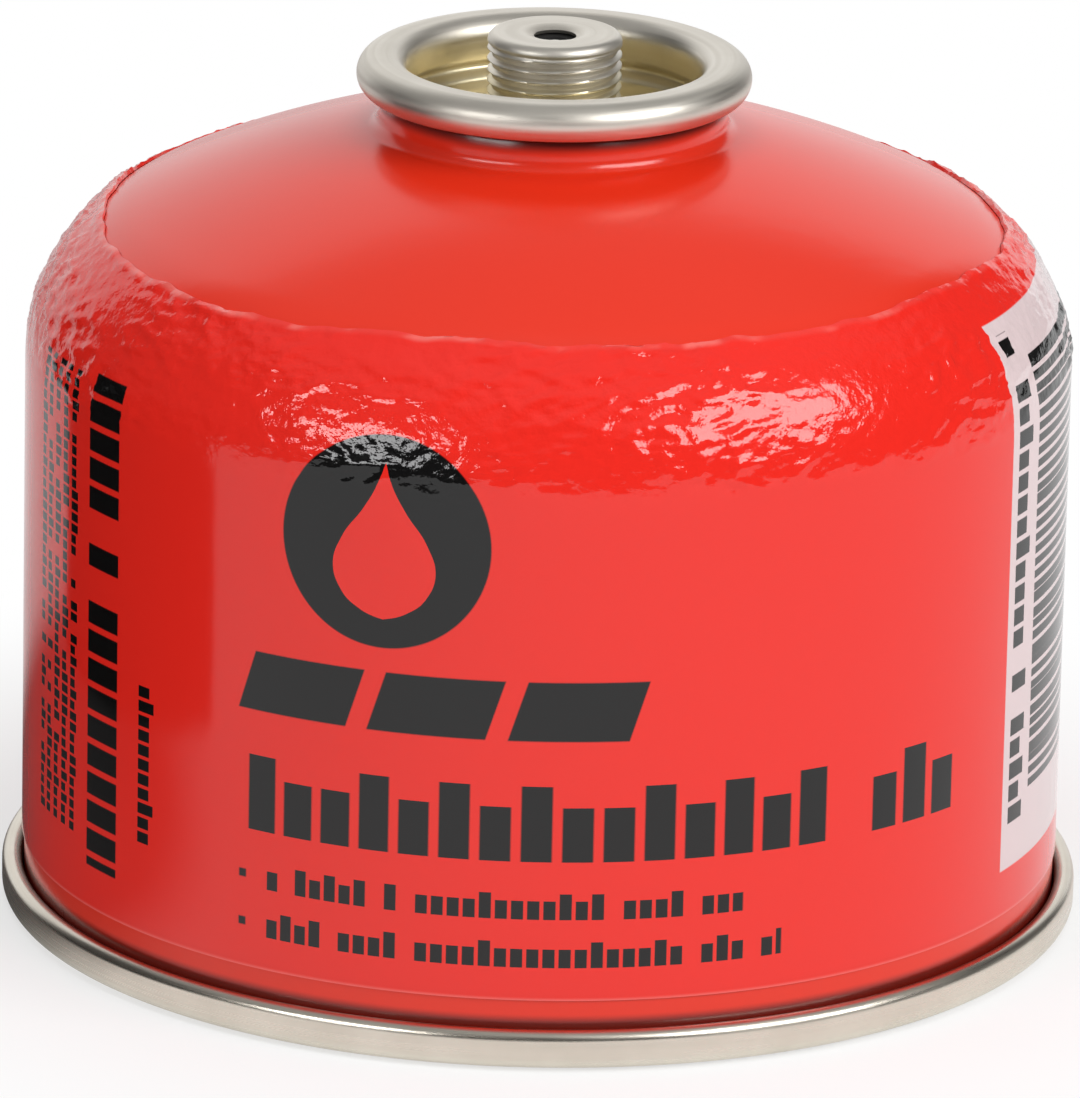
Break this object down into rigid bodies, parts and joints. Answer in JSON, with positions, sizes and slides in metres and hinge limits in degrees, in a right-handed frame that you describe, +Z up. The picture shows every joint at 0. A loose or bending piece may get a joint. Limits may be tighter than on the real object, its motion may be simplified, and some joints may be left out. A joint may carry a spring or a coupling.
{
  "type": "screw valve gas canister",
  "caption": "Squat sealed steel gas canister with a seamed base, a domed top, a rolled valve cup and a threaded turret for a camping burner.",
  "frame": {"origin": "on the can's axis, in the plane that the base seam stands on", "axes": "+Z up along the axis; -Y is the printed front"},
  "size_m": [0.09, 0.09, 0.0744],
  "materials": {
    "red_lacquer": "gloss red lacquer on drawn steel",
    "printed_film": "printed clear shrink film, glossy, crinkled over the shoulder",
    "tinplate": "bare tinplate, stamped and rolled, warm grey",
    "black_rubber": "moulded black nitrile rubber",
    "acetal": "moulded off-white acetal",
    "spring_steel": "drawn spring wire"
  },
  "bodies": {
    "canister": {"can_body": "red_lacquer", "base_end": "tinplate", "label_sleeve": "printed_film", "valve_cup": "tinplate", "cup_gasket": "black_rubber", "turret_gasket": "black_rubber", "valve_housing": "acetal"},
    "stem": {"valve_stem": "acetal", "valve_spring": "spring_steel"}
  },
  "joints": [
    {"name": "stem_press", "type": "slide", "parent": "canister", "child": "stem", "axis": [0, 0, -1], "range_m": [0, 0.0015], "stiffness_N_per_m": 800, "springref_m": -0.003, "deforming": ["valve_spring"]}
  ]
}
